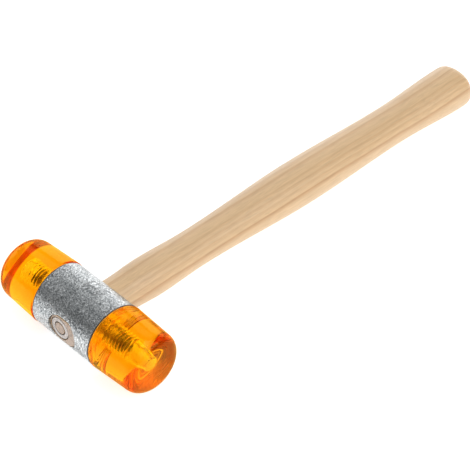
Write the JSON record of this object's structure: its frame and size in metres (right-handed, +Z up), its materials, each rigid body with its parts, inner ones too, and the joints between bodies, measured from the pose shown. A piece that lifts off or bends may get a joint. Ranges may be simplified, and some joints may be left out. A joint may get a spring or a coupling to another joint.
{
  "type": "soft face hammer",
  "caption": "Soft face hammer with a cast metal body, transparent plastic faces screwed on at both ends and an oval wooden handle held in the eye by a ring wedge.",
  "frame": {"origin": "on the bench, under the middle of the hammer's box as it lies on its side", "axes": "+Z up from the bench; +X along the head, towards the right face; +Y from the head towards the butt of the handle"},
  "size_m": [0.0998, 0.2894, 0.035],
  "materials": {
    "zinc_plated_iron": "rough cast skin under bright zinc plating",
    "stud_steel": "zinc plated, threaded",
    "amber_plastic": "clear amber, moulded and glossy",
    "ash_wood": "sanded and thinly lacquered",
    "wedge_steel": "plain steel, dull"
  },
  "bodies": {
    "head": {"head_body": "zinc_plated_iron", "left_stud": "stud_steel", "right_stud": "stud_steel", "handle": "ash_wood", "ring_wedge": "wedge_steel"},
    "left_face": {"left_face": "amber_plastic"},
    "right_face": {"right_face": "amber_plastic"}
  },
  "joints": [
    {"name": "left_face_unscrew", "type": "slide", "parent": "head", "child": "left_face", "axis": [-1, 0, 0], "range_m": [0, 0.024]},
    {"name": "right_face_unscrew", "type": "slide", "parent": "head", "child": "right_face", "axis": [1, 0, 0], "range_m": [0, 0.024]}
  ]
}
